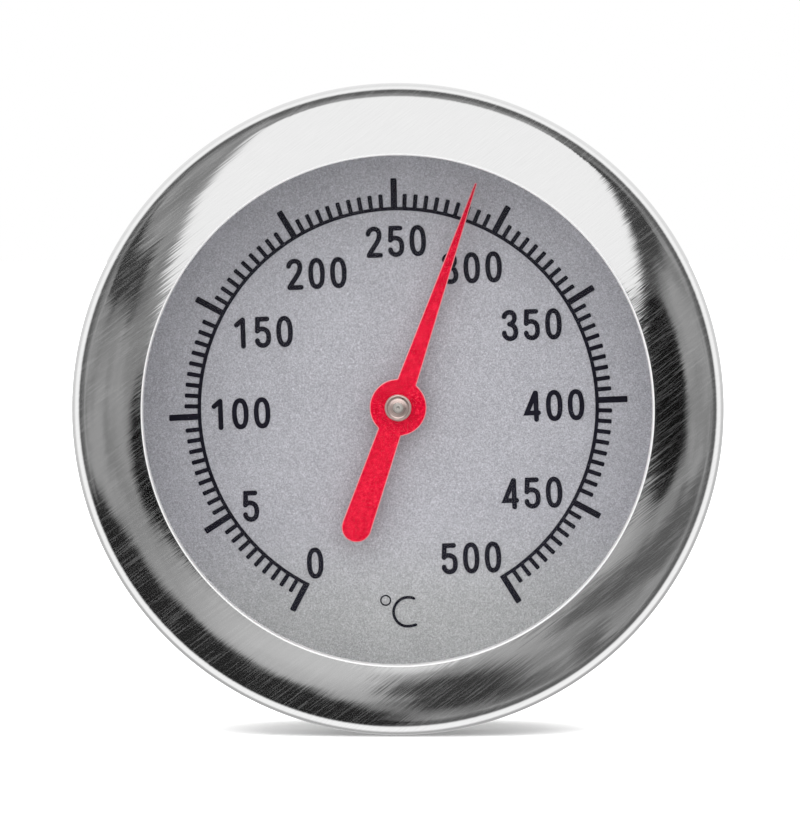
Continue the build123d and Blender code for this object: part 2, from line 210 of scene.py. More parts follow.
def ring_row(radius, height, count):
    """A row of points round the axis; radius may be a function of the turn in radians."""
    if not callable(radius) and radius < 1e-9:
        return [(0, height, 0)]
    row = []
    for i in range(count):
        turn = 2 * pi * i / count
        r = radius(turn) if callable(radius) else radius
        row.append((r * cos(turn), height, r * sin(turn)))
    return row


def turned(name, outline, body, slot, replaced, count=ROUND):
    """A piece turned about Y from an outline of (radius, height) points."""
    on_axis = outline[0][0] < 1e-9 and outline[-1][0] < 1e-9
    rows = [ring_row(radius, height, count) for radius, height in outline]
    points, faces = skin(rows, closed=not on_axis)
    build(name, points, faces, body, slot, replaced)


def hexagon_r(flat_r, limit):
    """Radius of a hexagon with corners on +X and -X, turned down to the limit radius."""

    def radius(turn):
        off = (turn + 1e-9) % (pi / 3) - pi / 6
        return min(flat_r / cos(off), limit)

    return radius


def hexagon_rows(flat_r, start, end, chamfer_end):
    """Rows of a hexagon's outside from start to end. Its corners are turned down at the start, and at
    the end too when chamfer_end is true."""
    corner = flat_r / cos(pi / 6)
    down, along, steps = 0.8 * MM, 0.4 * MM, 6
    places = [(start + along * k / steps, corner - down * (1 - k / steps)) for k in range(steps)]
    if chamfer_end:
        places += [(end - along * (1 - k / steps), corner - down * k / steps) for k in range(steps + 1)]
    else:
        places.append((end, corner))
    return [ring_row(hexagon_r(flat_r, limit), height, HEX_ROUND) for height, limit in places]


# ---------------------------------------------------------------------------------------------
# Node building
# ---------------------------------------------------------------------------------------------


class Graph:
    """Adds nodes to a material's or the world's tree; every method returns an output socket."""

    def __init__(self, tree):
        self.tree = tree
        tree.nodes.clear()

    def add(self, kind, settings=(), **inputs):
        node = self.tree.nodes.new(kind)
        for name, value in dict(settings).items():
            setattr(node, name, value)
        for name, value in inputs.items():
            self.put(node.inputs[name.replace("_", " ")], value)
        return node

    def put(self, socket, value):
        if isinstance(value, bpy.types.NodeSocket):
            self.tree.links.new(value, socket)
        elif value is not None:
            socket.default_value = value

    def math(self, operation, *values):
        node = self.tree.nodes.new("ShaderNodeMath")
        node.operation = operation
        for socket, value in zip(node.inputs, values):
            self.put(socket, value)
        return node.outputs[0]

    def vector(self, operation, *values):
        node = self.tree.nodes.new("ShaderNodeVectorMath")
        node.operation = operation
        for socket, value in zip(node.inputs, values):
            self.put(socket, value)
        return node.outputs["Value" if operation == "DOT_PRODUCT" else "Vector"]

    def scaled(self, vector, amount):
        node = self.tree.nodes.new("ShaderNodeVectorMath")
        node.operation = "SCALE"
        self.put(node.inputs[0], vector)
        self.put(node.inputs["Scale"], amount)
        return node.outputs["Vector"]

    def smooth(self, value, low, high, to_low=0.0, to_high=1.0):
        """Smooth step from to_low, at low, to to_high, at high."""
        node = self.add("ShaderNodeMapRange", {"interpolation_type": "SMOOTHSTEP"})
        for socket, given in zip(node.inputs, (value, low, high, to_low, to_high)):
            self.put(socket, given)
        return node.outputs[0]

    def noise(self, vector, scale, detail=2.0, roughness=0.5):
        """Noise between 0 and 1, mostly near 0.5, with about scale features to a unit."""
        node = self.add("ShaderNodeTexNoise", {"noise_dimensions": "3D"})
        self.put(node.inputs["Vector"], vector)
        self.put(node.inputs["Scale"], scale)
        self.put(node.inputs["Detail"], detail)
        self.put(node.inputs["Roughness"], roughness)
        return node.outputs[0]

    def blend(self, factor, first, second):
        """Colour between first and second."""
        node = self.add("ShaderNodeMix", {"data_type": "RGBA"})
        self.put(node.inputs["Factor"], factor)
        self.put(node.inputs[6], first)
        self.put(node.inputs[7], second)
        return node.outputs[2]

    def mix(self, factor, first, second):
        """Number between first and second."""
        node = self.add("ShaderNodeMix", {"data_type": "FLOAT"})
        self.put(node.inputs["Factor"], factor)
        self.put(node.inputs[2], first)
        self.put(node.inputs[3], second)
        return node.outputs[0]

    def place(self):
        return self.add("ShaderNodeTexCoord").outputs["Object"]

    def split(self, vector):
        return self.add("ShaderNodeSeparateXYZ", Vector=vector).outputs

    def join(self, x, y, z):
        return self.add("ShaderNodeCombineXYZ", X=x, Y=y, Z=z).outputs[0]

    def add_up(self, first, share, second):
        """The weighted mean of two numbers, where share is the first one's weight."""
        first_part = self.math("MULTIPLY", first, share)
        return self.math("ADD", first_part, self.math("MULTIPLY", second, 1 - share))

    def centred(self, noise, amount):
        """The noise as an offset about zero."""
        return self.math("MULTIPLY", self.math("SUBTRACT", noise, 0.5), amount)

    def from_axis(self, x, z):
        """Distance from the object's axis."""
        return self.math("SQRT", self.math("ADD", self.math("MULTIPLY", x, x), self.math("MULTIPLY", z, z)))

    def bump(self, height, strength, distance):
        return self.add("ShaderNodeBump", Height=height, Strength=strength, Distance=distance).outputs[0]


def new_material(name):
    material = bpy.data.materials.new(name)
    material.use_nodes = True
    return material, Graph(material.node_tree)


def finish_surface(graph, **inputs):
    """A Principled surface with the given inputs, as the material's output."""
    shader = graph.add("ShaderNodeBsdfPrincipled")
    for name, value in inputs.items():
        graph.put(shader.inputs[name.replace("_", " ")], value)
    graph.add("ShaderNodeOutputMaterial", Surface=shader.outputs[0])
    return shader


def two_shaders(graph, share, first, second):
    """The material's output, with the given share of the second shader over the first."""
    both = graph.add("ShaderNodeMixShader")
    graph.put(both.inputs[0], share)
    graph.put(both.inputs[1], first.outputs[0])
    graph.put(both.inputs[2], second.outputs[0])
    graph.add("ShaderNodeOutputMaterial", Surface=both.outputs[0])


def grey(value, tint=(1.0, 1.0, 1.0)):
    return (value * tint[0], value * tint[1], value * tint[2], 1.0)


BRUSH_ANGLE = 35.0
brush_along = (cos(radians(BRUSH_ANGLE)), 0.0, sin(radians(BRUSH_ANGLE)))
brush_across = (-sin(radians(BRUSH_ANGLE)), 0.0, cos(radians(BRUSH_ANGLE)))


def satin_steel(name):
    """Stainless sheet brushed in one straight direction before it was formed. Its bent inner rim is painted
    near white and less metallic, a painted highlight on top of the reflections it catches.

    The scratches tilt the surface by a few hundredths, mostly across their own direction, and a thin
    share of them scatters light as a dull surface does."""
    material, g = new_material(name)
    place = g.place()
    along = g.vector("DOT_PRODUCT", place, brush_along)
    across = g.vector("DOT_PRODUCT", place, brush_across)
    x, depth, z = g.split(place)[:3]

    def scratches(along_scale, across_scale, detail):
        """Noise drawn out along the brushing, with its two scales in features to a metre."""
        drawn_along = g.math("MULTIPLY", along, along_scale)
        drawn_across = g.math("MULTIPLY", across, across_scale)
        return g.noise(g.join(drawn_along, drawn_across, depth), 1.0, detail)

    streak = g.add_up(scratches(480.0, 12000.0, 2.0), 0.78, scratches(170.0, 4600.0, 2.0))
    slope = scratches(150.0, 9000.0, 1.0)
    scattering = scratches(260.0, 7000.0, 1.0)
    waves = g.noise(place, 120.0, 1.0)
    # Painted highlight: mask of the bent inner rim next to the opening, which is painted near white.
    lip_highlight = g.smooth(g.from_axis(x, z), opening_r + lip_r, opening_r + 1.8 * lip_r, 1.0, 0.0)
    lean = g.math("ADD", g.centred(streak, 0.055), g.centred(waves, 0.010))
    normal = g.add("ShaderNodeNewGeometry").outputs["Normal"]
    tilted = g.vector("ADD", normal, g.scaled(brush_across, lean))
    tilted = g.vector("ADD", tilted, g.scaled(brush_along, g.centred(slope, 0.065)))
    tilted = g.vector("NORMALIZE", tilted)
    # The bent inner rim's colour is a near-white painted highlight over the brushed grey.
    colour = g.blend(lip_highlight, g.blend(g.smooth(streak, 0.25, 0.75), grey(0.600), grey(0.632)), grey(0.96))
    clean = g.add("ShaderNodeBsdfPrincipled", Base_Color=colour, Anisotropic=0.6)
    g.put(clean.inputs["Metallic"], g.mix(lip_highlight, 1.0, 0.4))
    g.put(clean.inputs["Roughness"], g.mix(lip_highlight, g.smooth(streak, 0.3, 0.7, 0.05, 0.08), 0.34))
    g.put(clean.inputs["Tangent"], g.join(*brush_along))
    g.put(clean.inputs["Normal"], tilted)
    dull = g.add("ShaderNodeBsdfPrincipled", Base_Color=grey(0.66), Roughness=0.7, Specular_IOR_Level=0.0)
    dull_share = g.smooth(scattering, 0.46, 0.72, 0.005, 0.085)
    two_shaders(g, dull_share, clean, dull)
    return material


def turned_metal(name, low, high, tint, roughness, lines=5200.0, depth=1.2e-6, spots=0.0, metallic=1.0):
    """Metal with fine rings from turning or drawing, and a little uneven dulling. low and high are the
    ends of its brightness, lines the rings to a metre, and spots the strength of its dark specks."""
    material, g = new_material(name)
    place = g.place()
    x, y, z = g.split(place)[:3]
    rings = g.noise(g.join(g.from_axis(x, z), y, 0.0), lines, 2.0)
    patches = g.noise(place, 160.0, 4.0, 0.6)
    dulled = g.add_up(rings, 0.6, patches)
    colour = g.blend(g.smooth(dulled, 0.32, 0.68), grey(low, tint), grey(high, tint))
    if spots:
        specks = g.smooth(g.noise(place, 2600.0, 3.0, 0.7), 0.62, 0.72)
        colour = g.blend(g.math("MULTIPLY", specks, spots), colour, grey(low * 0.45, tint))
    rough = g.mix(g.smooth(patches, 0.35, 0.65), roughness * 0.8, roughness * 1.3)
    finish_surface(
        g,
        Base_Color=colour,
        Metallic=metallic,
        Roughness=rough,
        Normal=g.bump(rings, 0.6, depth),
    )
    return material


STRAW = (1.06, 0.93, 0.74)


def drawn_metal(name):
    """The stem's tube: fine lines along the axis, with a faint straw heat tint towards the tip."""
    material, g = new_material(name)
    place = g.place()
    lines = g.noise(g.vector("MULTIPLY", place, (5200.0, 170.0, 5200.0)), 1.0, 2.0)
    patches = g.noise(place, 210.0, 3.0)
    warm = g.smooth(g.math("ADD", g.split(place)[1], g.math("MULTIPLY", patches, 0.012)), 0.026, 0.062)
    steel = g.blend(g.smooth(lines, 0.3, 0.7), grey(0.54), grey(0.66))
    straw = g.blend(g.smooth(lines, 0.3, 0.7), grey(0.50, STRAW), grey(0.62, STRAW))
    colour = g.blend(g.math("MULTIPLY", warm, 0.65), steel, straw)
    rough = g.mix(patches, 0.16, 0.34)
    finish_surface(g, Base_Color=colour, Metallic=1.0, Roughness=rough, Normal=g.bump(lines, 0.5, 1.2e-6))
    return material


def dial_finish(name):
    """Silver-grey dial: a very fine mineral grain under a matt clear coat, bluish but towards the bottom,
    where it turns plain grey and is painted a little lighter as painted light; pale specks in the grain are
    painted glints.
    """
    material, g = new_material(name)
    place = g.place()
    grain = g.noise(place, 7600.0, 2.0, 0.65)
    cloud = g.noise(place, 260.0, 3.0)
    mixed = g.smooth(g.add_up(grain, 0.9, cloud), 0.26, 0.74)
    bluish = g.blend(mixed, (0.305, 0.298, 0.325, 1), (0.555, 0.545, 0.595, 1))
    # Painted light: a plain grey a little lighter than the bluish one, used towards the bottom of the dial.
    lit_grey = g.blend(mixed, (0.325, 0.323, 0.327, 1), (0.590, 0.588, 0.594, 1))
    lit_bottom = g.smooth(g.split(place)[2], -22 * MM, -10 * MM, 0.9, 0.0)
    colour = g.blend(lit_bottom, bluish, lit_grey)
    # Painted glints: pale specks where the grain would catch the light.
    painted_glint = g.math("MULTIPLY", g.smooth(grain, 0.64, 0.74), 0.5)
    colour = g.blend(painted_glint, colour, (0.85, 0.85, 0.88, 1))
    finish_surface(
        g,
        Base_Color=colour,
        Roughness=g.mix(grain, 0.55, 0.75),
        Specular_IOR_Level=0.2,
        Normal=g.bump(grain, 0.35, 8e-6),
    )
    return material


def ink_finish(name):
    """Matt black print with pinholes and thin spots where the grain shows through."""
    material, g = new_material(name)
    place = g.place()
    speck = g.noise(place, 6800.0, 2.0, 0.7)
    thin = g.noise(place, 1500.0, 3.0)
    worn = g.add_up(speck, 0.8, thin)
    colour = g.blend(g.smooth(worn, 0.62, 0.78), (0.012, 0.011, 0.019, 1), (0.22, 0.22, 0.25, 1))
    finish_surface(
        g,
        Base_Color=colour,
        Roughness=g.mix(speck, 0.5, 0.8),
        Specular_IOR_Level=0.06,
        Normal=g.bump(speck, 0.3, 5e-6),
    )
    return material


def red_lacquer(name):
    """Semi-matt red lacquer with fine flecks, and a painted highlight in pale pink on the bevelled edge of
    the pointer.
    """
    material, g = new_material(name)
    place = g.place()
    peel = g.noise(place, 2600.0, 3.0)
    fleck = g.noise(place, 4600.0, 2.0, 0.7)
    red = g.blend(g.smooth(fleck, 0.34, 0.66), (0.56, 0.002, 0.020, 1), (0.86, 0.009, 0.050, 1))
    worn = g.math("MULTIPLY", g.smooth(fleck, 0.58, 0.72), 0.17)
    red = g.blend(worn, red, (0.95, 0.16, 0.19, 1))
    away_from_front = g.split(g.add("ShaderNodeNewGeometry").outputs["Normal"])[1]
    # Painted highlight: the bevelled edge, turned away from the front, is painted pale pink.
    edge = g.smooth(away_from_front, -0.985, -0.90)
    colour = g.blend(edge, red, (0.88, 0.33, 0.36, 1))
    finish_surface(
        g,
        Base_Color=colour,
        Roughness=g.mix(peel, 0.42, 0.6),
        Specular_IOR_Level=0.02,
        Normal=g.bump(peel, 0.25, 6e-6),
    )
    return material


def rubber_finish(name):
    """Light grey silicone with a fine moulded grain and a little dust."""
    material, g = new_material(name)
    place = g.place()
    grain = g.noise(place, 3800.0, 4.0, 0.65)
    dust = g.noise(place, 420.0, 4.0, 0.6)
    colour = g.blend(g.smooth(dust, 0.45, 0.8), (0.62, 0.62, 0.60, 1), (0.50, 0.49, 0.47, 1))
    rough = g.mix(grain, 0.55, 0.85)
    finish_surface(g, Base_Color=colour, Roughness=rough, Normal=g.bump(grain, 0.5, 1.5e-5))
    return material


COATED_SHARE = 0.12


def lens_finish(name):
    """Clear flat glass with a coating that leaves only a share of its reflection. It passes light
    straight on and reflects more at a flat angle."""
    material, g = new_material(name)
    smear = g.noise(g.place(), 130.0, 4.0, 0.6)
    clear = g.add("ShaderNodeBsdfTransparent", Color=(0.985, 0.99, 0.988, 1))
    shine = g.add("ShaderNodeBsdfGlossy", Color=(1, 1, 1, 1))
    g.put(shine.inputs["Roughness"], g.smooth(smear, 0.35, 0.75, 0.01, 0.05))
    fresnel = g.add("ShaderNodeFresnel", IOR=1.45)
    two_shaders(g, g.math("MULTIPLY", fresnel.outputs[0], COATED_SHARE), clear, shine)
    return material


WHITE = (1.0, 1.0, 0.99)
PINKISH = (1.0, 0.77, 0.72)
WARM = (1.0, 0.93, 0.88)
BRASS = (1.0, 0.78, 0.42)
TEMPERED = (1.0, 0.93, 0.82)
COOL = (0.98, 1.0, 1.02)
finishes = {
    "bezel_steel": satin_steel("bezel_steel"),
    "lens_glass": lens_finish("lens_glass"),
    "seal_rubber": rubber_finish("seal_rubber"),
    "case_steel": turned_metal("case_steel", 0.50, 0.62, WHITE, 0.27, lines=3600.0),
    "dull_aluminium": turned_metal(
        "dull_aluminium", 0.74, 0.84, (1, 1, 1.01), 0.6, lines=2600.0, metallic=0.3
    ),
    "dial_silver": dial_finish("dial_silver"),
    "dial_ink": ink_finish("dial_ink"),
    "pointer_red": red_lacquer("pointer_red"),
    "bush_nickel": turned_metal(
        "bush_nickel", 0.62, 0.99, PINKISH, 0.26, lines=7200.0, depth=9e-6, spots=0.8
    ),
    "inner_steel": turned_metal("inner_steel", 0.62, 0.90, WARM, 0.42, lines=6400.0, spots=0.4),
    "bearing_brass": turned_metal("bearing_brass", 0.62, 0.78, BRASS, 0.3),
    "coil_strip": turned_metal("coil_strip", 0.40, 0.55, TEMPERED, 0.38, lines=2200.0),
    "stem_steel": drawn_metal("stem_steel"),
    "fitting_steel": turned_metal("fitting_steel", 0.50, 0.66, WHITE, 0.24, lines=4200.0),
    "nut_zinc": turned_metal("nut_zinc", 0.50, 0.68, COOL, 0.33, lines=1500.0, spots=0.25),
    "washer_zinc": turned_metal("washer_zinc", 0.50, 0.68, COOL, 0.30, lines=1100.0, spots=0.2),
}


# ---------------------------------------------------------------------------------------------
# Head
# ---------------------------------------------------------------------------------------------

tilt_in = radians(face_tilt_inner)
tilt_out = radians(face_tilt_outer)
face_end_r = bezel_r - face_end_inset
lip_centre = (opening_r + lip_r, bezel_crest + lip_r)
crown_r = (face_end_r - lip_centre[0] - lip_r * sin(tilt_in)) / (sin(tilt_out) - sin(tilt_in))
crown_centre = (
    lip_centre[0] - sin(tilt_in) * (crown_r - lip_r),
    lip_centre[1] + cos(tilt_in) * (crown_r - lip_r),
)
edge_r = face_end_inset / (1 - sin(tilt_out))
edge_centre = (
    crown_centre[0] + sin(tilt_out) * (crown_r - edge_r),
    crown_centre[1] - cos(tilt_out) * (crown_r - edge_r),
)
curl_centre = (bezel_r - curl_r, bezel_rear - curl_r)
inner_corner_r = opening_r + sheet
inner_start = degrees(asin((inner_corner_r - crown_centre[0]) / (crown_r - sheet)))

bezel_outline = (
    [(opening_r, gasket_front)]
    + arc(lip_centre, lip_r, 180, 90 + face_tilt_inner, 28)
    + arc(crown_centre, crown_r, 270 + face_tilt_inner, face_tilt_outer - face_tilt_inner, 60)[1:]
    + arc(edge_centre, edge_r, 270 + face_tilt_outer, 90 - face_tilt_outer, 48)[1:]
    + arc(curl_centre, curl_r, 0, 90, 12)
    + [(curl_end_r, bezel_rear), (curl_end_r, bezel_rear - sheet)]
    + arc(curl_centre, curl_r - sheet, 90, -90, 8)
    + arc(edge_centre, edge_r - sheet, 0, face_tilt_outer - 90, 16)
    + arc(crown_centre, crown_r - sheet, 270 + face_tilt_outer, inner_start - face_tilt_outer, 24)[1:]
    + [(inner_corner_r, gasket_front)]
)
turned("bezel_sheet", bezel_outline, "root", "bezel_steel", ["bezel"], count=512)

lens_outline = softened(
    [(0, lens_front), (lens_r, lens_front), (lens_r, lens_rear), (0, lens_rear)],
    [0, 0.15 * MM, 0.15 * MM, 0],
)
turned("lens_disc", lens_outline, "root", "lens_glass", ["lens"])

wall_r = 27.0 * MM
cup_r = 28.8 * MM
shoulder_rear = dial_rear + sheet
flange_rear = lens_rear + sheet
bore_r = shank_r + thread_play
case_outside = softened(
    [
        (bore_r, case_rear),
        (wall_r, case_rear),
        (wall_r, shoulder_rear),
        (cup_r, shoulder_rear),
        (cup_r, flange_rear),
        (case_r, flange_rear),
    ],
    [0, 2.6 * MM, 0.15 * MM, 0.9 * MM, 0.15 * MM, 0],
    steps=10,
)
case_inside = softened(
    [
        (case_r, lens_rear),
        (cup_r - sheet, lens_rear),
        (cup_r - sheet, dial_rear),
        (wall_r - sheet, dial_rear),
        (wall_r - sheet, case_rear - sheet),
        (bore_r, case_rear - sheet),
    ],
    [0, 0.3 * MM, 0.3 * MM, 0.3 * MM, 2.0 * MM, 0],
    steps=8,
)
turned("case_cup", case_outside + case_inside, "root", "case_steel", ["case"])


# ---------------------------------------------------------------------------------------------
# Pointer, bush and spindle
# ---------------------------------------------------------------------------------------------


def circle_crossing(start, end, radius):
    """The point where the line from start, inside the circle about the origin, to end leaves it."""
    a, b = Vector(start), Vector(end)
    d = b - a
    half_b, c = a.dot(d), a.dot(a) - radius * radius
    t = (-half_b + sqrt(half_b * half_b - d.dot(d) * c)) / d.dot(d)
    return a + d * t


def pointer_outline():
    """The pointer's outline about its pivot, with the needle along +v, anticlockwise."""
    tip_half = needle_tip_width / 2
    root_half = needle_hub_width / 2
    needle_end = needle_length - tip_half
    upper = circle_crossing((root_half, 0), (tip_half, needle_end), hub_r)
    lower = circle_crossing((root_half, 0), (tail_end_r, -tail_centre), hub_r)
    upper_turn, lower_turn = atan2(upper.y, upper.x), atan2(lower.y, lower.x)
    right = arc((0, -tail_centre), tail_end_r, 270, 90, 20)
    hub_steps = 28
    for k in range(hub_steps + 1):
        turn = lower_turn + (upper_turn - lower_turn) * k / hub_steps
        right.append((hub_r * cos(turn), hub_r * sin(turn)))
    right += arc((0, needle_end), tip_half, 0, 90, 5)
    left = [(-u, v) for u, v in reversed(right[1:-1])]
    return right + left


def inset(outline, amount):
    """The outline moved inwards by the amount, for a bevel."""
    result = []
    for i, point in enumerate(outline):
        before = Vector(outline[i - 1])
        after = Vector(outline[(i + 1) % len(outline)])
        inward = Matrix.Rotation(pi / 2, 2) @ (after - before).normalized()
        result.append(tuple(Vector(point) + inward * amount))
    return result


def make_pointer():
    """The flat pointer, bevelled in two steps at its front edge, with the hole for its bush."""
    outline = pointer_outline()
    bevel, break_at = 0.085 * MM, 0.3
    hole_turns = [2 * pi * i / HOLE_ROUND for i in range(HOLE_ROUND)]
    hole = [(rivet_r * cos(turn), rivet_r * sin(turn)) for turn in hole_turns]
    across = Vector((cos(radians(pointer_angle)), 0, -sin(radians(pointer_angle))))
    along = Vector((sin(radians(pointer_angle)), 0, cos(radians(pointer_angle))))

    def placed(flat, height):
        return [across * u + along * v + Vector((0, height, 0)) for u, v in flat]

    narrow = inset(outline, bevel)
    rows = [
        placed(narrow, pointer_front),
        placed(inset(outline, bevel * break_at), pointer_front + bevel * break_at),
        placed(outline, pointer_front + bevel),
        placed(outline, pointer_rear),
    ]
    points, faces = skin(rows, closed=False)
    count = len(outline)
    for flat, row_start, height in ((narrow, 0, pointer_front), (outline, 3 * count, pointer_rear)):
        hole_start = len(points)
        points += placed(hole, height)
        flat_points = [Vector((u, v, 0)) for u, v in flat]
        hole_points = [Vector((u, v, 0)) for u, v in hole]
        for triangle in tessellate_polygon([flat_points, hole_points]):
            faces.append([row_start + k if k < count else hole_start + k - count for k in triangle])
    front_hole, rear_hole = 4 * count, 4 * count + len(hole)
    for i in range(len(hole)):
        j = (i + 1) % len(hole)
        faces.append([front_hole + i, front_hole + j, rear_hole + j, rear_hole + i])
    build("pointer_blade", points, faces, "pointer_assembly", "pointer_red", ["pointer"], sharp=12.0)


make_pointer()

# The boss is dished between its rim and the spindle.
bush_outline = softened(
    [
        (spindle_r, boss_front + 0.06 * MM),
        (0.5 * (spindle_r + boss_r), boss_front + 0.13 * MM),
        (boss_r - 0.26 * MM, boss_front + 0.08 * MM),
        (boss_r - 0.18 * MM, boss_front),
        (boss_r, boss_front),
        (boss_r, pointer_front),
        (rivet_r, pointer_front),
        (rivet_r, pointer_rear),
        (bush_flange_r, pointer_rear),
        (bush_flange_r, bush_rear),
        (spindle_r, bush_rear),
    ],
    [0, 0.06 * MM, 0.03 * MM, 0.02 * MM, 0.10 * MM, 0, 0, 0, 0.03 * MM, 0.03 * MM, 0],
)
turned("pointer_boss", bush_outline, "pointer_assembly", "bush_nickel", ["pointer_bush"], count=128)

spindle_outline = softened(
    [
        (0, spindle_front + 0.12 * MM),
        (0.16 * MM, spindle_front),
        (spindle_r, spindle_front),
        (spindle_r, spindle_rear),
        (0, spindle_rear),
    ],
    [0, 0.04 * MM, 0.12 * MM, 0.05 * MM, 0],
)
turned("spindle_rod", spindle_outline, "pointer_assembly", "inner_steel", ["spindle"], count=96)


# ---------------------------------------------------------------------------------------------
# Fitting, washer, nut and stem
# ---------------------------------------------------------------------------------------------


def thread_depth_at(turn, height):
    """How far the M10x1 thread lies below its crest at a turn about +Y and a height."""
    phase = (height / thread_pitch + turn / (2 * pi)) % 1.0
    off_crest = abs(phase - 0.5) * thread_pitch
    half_crest = thread_pitch / 16
    return min(thread_depth, max(0.0, (off_crest - half_crest) / tan(pi / 6)))


def make_bush():
    """The fitting: spigot, hexagon collar and threaded shank, with the stem's seat in its end."""
    thread_start, run_out_length, steps_a_turn = 0.4 * MM, 0.9 * MM, 20
    rows = [ring_row(bush_bore_r, spigot_front, HEX_ROUND)]
    rows.append(ring_row(shank_r - shank_chamfer, spigot_front, HEX_ROUND))
    rows.append(ring_row(shank_r, spigot_front + shank_chamfer, HEX_ROUND))
    rows.append(ring_row(shank_r, -collar_length, HEX_ROUND))
    rows += hexagon_rows(collar_flat_r, -collar_length, 0.0, False)
    count = int(round(shank_end / thread_pitch * steps_a_turn))
    for k in range(count + 1):
        height = shank_end * k / count
        run_out = min(1.0, max(0.0, (height - thread_start) / run_out_length))
        limit = shank_r - shank_chamfer + (shank_end - height)

        def radius(turn, height=height, run_out=run_out, limit=limit):
            return min(shank_r - run_out * thread_depth_at(turn, height), limit)

        rows.append(ring_row(radius, height, HEX_ROUND))
    rows.append(ring_row(stem_seat_r, shank_end, HEX_ROUND))
    rows.append(ring_row(stem_seat_r, stem_top, HEX_ROUND))
    rows.append(ring_row(bush_bore_r, stem_top, HEX_ROUND))
    points, faces = skin(rows, closed=True)
    build("fitting", points, faces, "root", "fitting_steel", ["threaded_bush"], sharp=28.0)


make_bush()


def make_nut():
    """The hexagon nut, with a cone at both ends of its bore."""
    bore, cone = shank_r + thread_play, 0.35 * MM
    rows = hexagon_rows(nut_flat_r, nut_front, nut_rear, True)
    rows.append(ring_row(bore + cone, nut_rear, HEX_ROUND))
    rows.append(ring_row(bore, nut_rear - cone, HEX_ROUND))
    rows.append(ring_row(bore, nut_front + cone, HEX_ROUND))
    rows.append(ring_row(bore + cone, nut_front, HEX_ROUND))
    points, faces = skin(rows, closed=True)
    build("nut", points, faces, "lock_nut", "nut_zinc", ["lock_nut"], sharp=28.0)


make_nut()

washer_outline = softened(
    [
        (washer_bore_r, washer_front),
        (washer_r, washer_front),
        (washer_r, washer_rear),
        (washer_bore_r, washer_rear),
    ],
    [0.06 * MM, 0.22 * MM, 0.08 * MM, 0.12 * MM],
)
turned("washer_disc", washer_outline, "washer", "washer_zinc", ["washer"], count=192)

tube_end = rear("stem_tube")
tube_bore_r = stem_r - 0.5 * MM
tube_outline = [
    (tube_bore_r, stem_top),
    (stem_seat_r, stem_top),
    (stem_seat_r, shank_end),
    (stem_r - 0.06 * MM, shank_end),
    (stem_r, shank_end + 0.06 * MM),
    (stem_r, tube_end - 0.03 * MM),
    (stem_r - 0.03 * MM, tube_end),
    (tube_bore_r, tube_end),
]
turned("stem", tube_outline, "root", "stem_steel", ["stem_tube"], count=128)

plug_r = 1.89 * MM
plug_front = front("stem_tip")
plug_step = tube_end - 2.5 * MM
tip_outline = (
    [(0, plug_front), (plug_r, plug_front), (plug_r, plug_step)]
    + [(tube_bore_r, plug_step), (tube_bore_r, tube_end)]
    + arc((0, tube_end), stem_r, 0, 90, 24)[:-1]
    + [(0, stem_tip_end)]
)
turned("stem_end", tip_outline, "root", "stem_steel", ["stem_tip"], count=128)

# The remaining solids show as they are, each in its own finish.
kept = {part["node"]: part["material_slot"] for part in frame["record"]["subparts"]}
for node_name, slot_name in kept.items():
    node = nodes[node_name]
    if not node.hide_render:
        node.data.materials.clear()
        node.data.materials.append(finishes[slot_name])


# ---------------------------------------------------------------------------------------------
# Camera, floor and light
# ---------------------------------------------------------------------------------------------

ROLL = 2.2
picture_up = Vector((sin(radians(ROLL)), 0, cos(radians(ROLL))))
picture_right = Vector((cos(radians(ROLL)), 0, -sin(radians(ROLL))))


def make_camera():
    """A long lens in front of the dial and a little above its axis, rolled by ROLL."""
    elevation, azimuth, distance = 2.0, 0.25, 0.600
    aim = Vector((0, -26 * MM, 0)) + picture_right * (0.21 * MM) + picture_up * (0.10 * MM)
    away = (
        Vector((0, -1, 0)) * cos(radians(elevation)) * cos(radians(azimuth))
        + picture_up * sin(radians(elevation))
        + picture_right * (sin(radians(azimuth)) * cos(radians(elevation)))
    )
    data = bpy.data.cameras.new("camera")
    data.lens = 273.8
    data.sensor_width = 36.0
    data.clip_start = 0.01
    data.clip_end = 50.0
    camera = bpy.data.objects.new("camera", data)
    bpy.context.scene.collection.objects.link(camera)
    side = picture_up.cross(away).normalized()
    top = away.cross(side).normalized()
    turn = Matrix((side, top, away)).transposed()
    camera.matrix_world = Matrix.Translation(aim + away * distance) @ turn.to_4x4()
    bpy.context.scene.camera = camera


def make_floor():
    """A wide flat table under the rim, level with the picture. Away from the rim it glows enough to be
    pure white, so that only the contact shadow stays."""
    half = 4.0
    base = picture_up * -bezel_r
    corners = [(-half, -half), (half, -half), (half, half), (-half, half)]
    mesh = bpy.data.meshes.new("floor")
    points = [tuple(base + picture_right * x + Vector((0, y, 0))) for x, y in corners]
    mesh.from_pydata(points, [], [(0, 1, 2, 3)])
    floor = bpy.data.objects.new("floor", mesh)
    bpy.context.scene.collection.objects.link(floor)
    material, g = new_material("floor_white")
    paper = g.noise(g.place(), 60.0, 3.0)
    white = g.blend(paper, grey(0.94), grey(0.96))
    shader = finish_surface(g, Base_Color=white, Roughness=0.9, Specular_IOR_Level=0.0)
    shader.inputs["Emission Color"].default_value = grey(1.0)
    near = g.add("ShaderNodeAmbientOcclusion", (("samples", 16),), Distance=0.016)
    g.put(shader.inputs["Emission Strength"], g.smooth(near.outputs["AO"], 0.25, 0.75, 0.0, 0.8))
    mesh.materials.append(material)
    floor.visible_glossy = False
    floor.visible_diffuse = False


def make_key_light():
    """A broad soft light above and in front, which gives the pointer its soft shadow."""
    data = bpy.data.lights.new("key", "AREA")
    data.shape = "RECTANGLE"
    data.size = 0.5
    data.size_y = 0.35
    data.energy = 0.25
    light = bpy.data.objects.new("key", data)
    bpy.context.scene.collection.objects.link(light)
    light.location = (0.10, -0.50, 0.36)
    light.rotation_mode = "QUATERNION"
    light.rotation_quaternion = Vector(light.location).to_track_quat("Z", "Y")
    light.visible_glossy = False
    light.visible_camera = False


